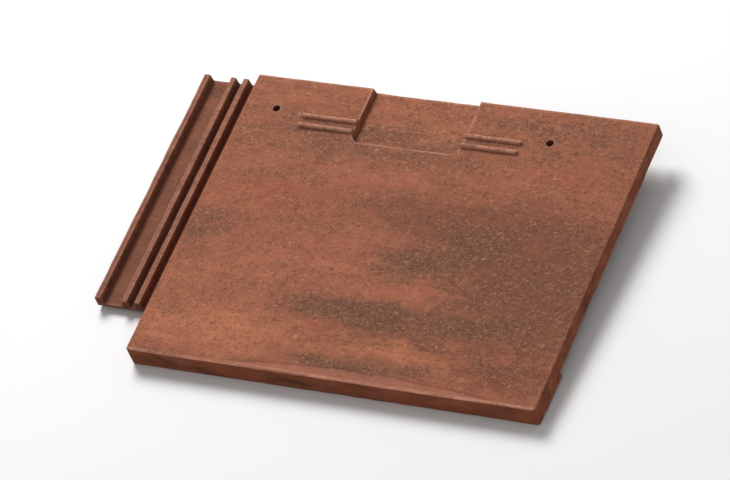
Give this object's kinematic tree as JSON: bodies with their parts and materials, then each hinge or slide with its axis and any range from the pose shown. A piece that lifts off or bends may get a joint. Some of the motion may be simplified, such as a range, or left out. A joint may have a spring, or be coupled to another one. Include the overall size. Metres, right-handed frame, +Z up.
{
  "type": "clay roof tile",
  "caption": "Flat interlocking clay roof tile with a mottled face, a ribbed side ledge, a grooved overlock, a head recess, hanging nibs and nail holes.",
  "frame": {"origin": "centre of the tile's footprint on the floor, as it lies on its front edge and its nibs", "axes": "+X along the course from the ribbed ledge to the overlock, +Y from the front edge towards the head, +Z up; the weather face leans 3.91 degrees up towards the head"},
  "size_m": [0.334, 0.2326, 0.0318],
  "materials": {
    "fired_clay": "matte sanded terracotta with smoky mottling"
  },
  "bodies": {
    "root": {"roof_tile": "fired_clay"}
  },
  "joints": []
}
